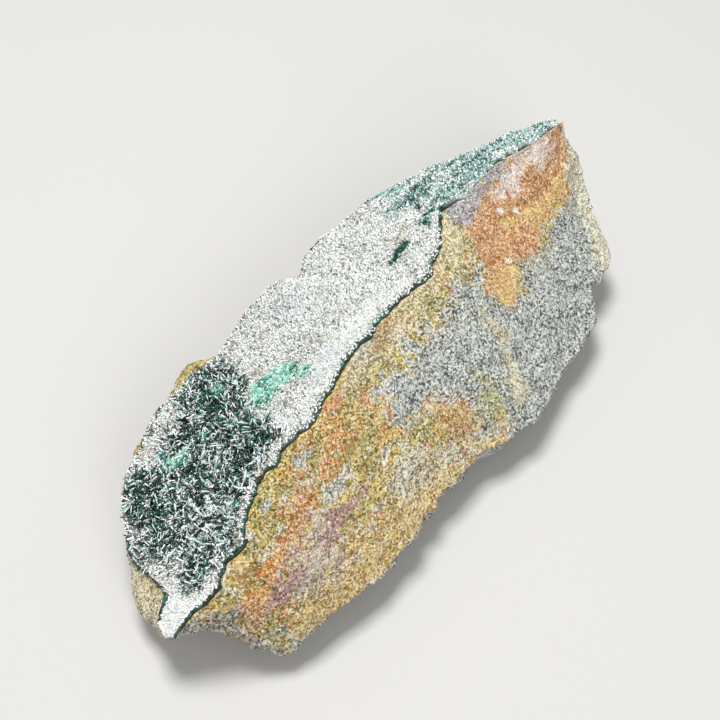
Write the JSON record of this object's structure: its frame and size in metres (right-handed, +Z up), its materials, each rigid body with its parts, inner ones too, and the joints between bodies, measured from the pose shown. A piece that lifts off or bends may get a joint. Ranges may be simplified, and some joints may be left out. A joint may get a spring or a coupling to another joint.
{
  "type": "epidote crystal cluster",
  "caption": "Hand specimen: a broken wedge of skarn rock with a thin crust of epidote druse and coarse prisms over its upper left face.",
  "frame": {"origin": "middle of the specimen's footprint, on the surface it lies on", "axes": "+X along the specimen from its blunt tail to its pointed tip, +Y towards the crust side, +Z up"},
  "size_m": [0.165, 0.0752, 0.0388],
  "materials": {
    "rock": "rough broken skarn, ochre, rust and blue-grey, granular",
    "epidote": "glassy dark green crystals under pale druse"
  },
  "bodies": {
    "root": {"host_rock": "rock", "epidote_crust": "epidote"}
  },
  "joints": []
}
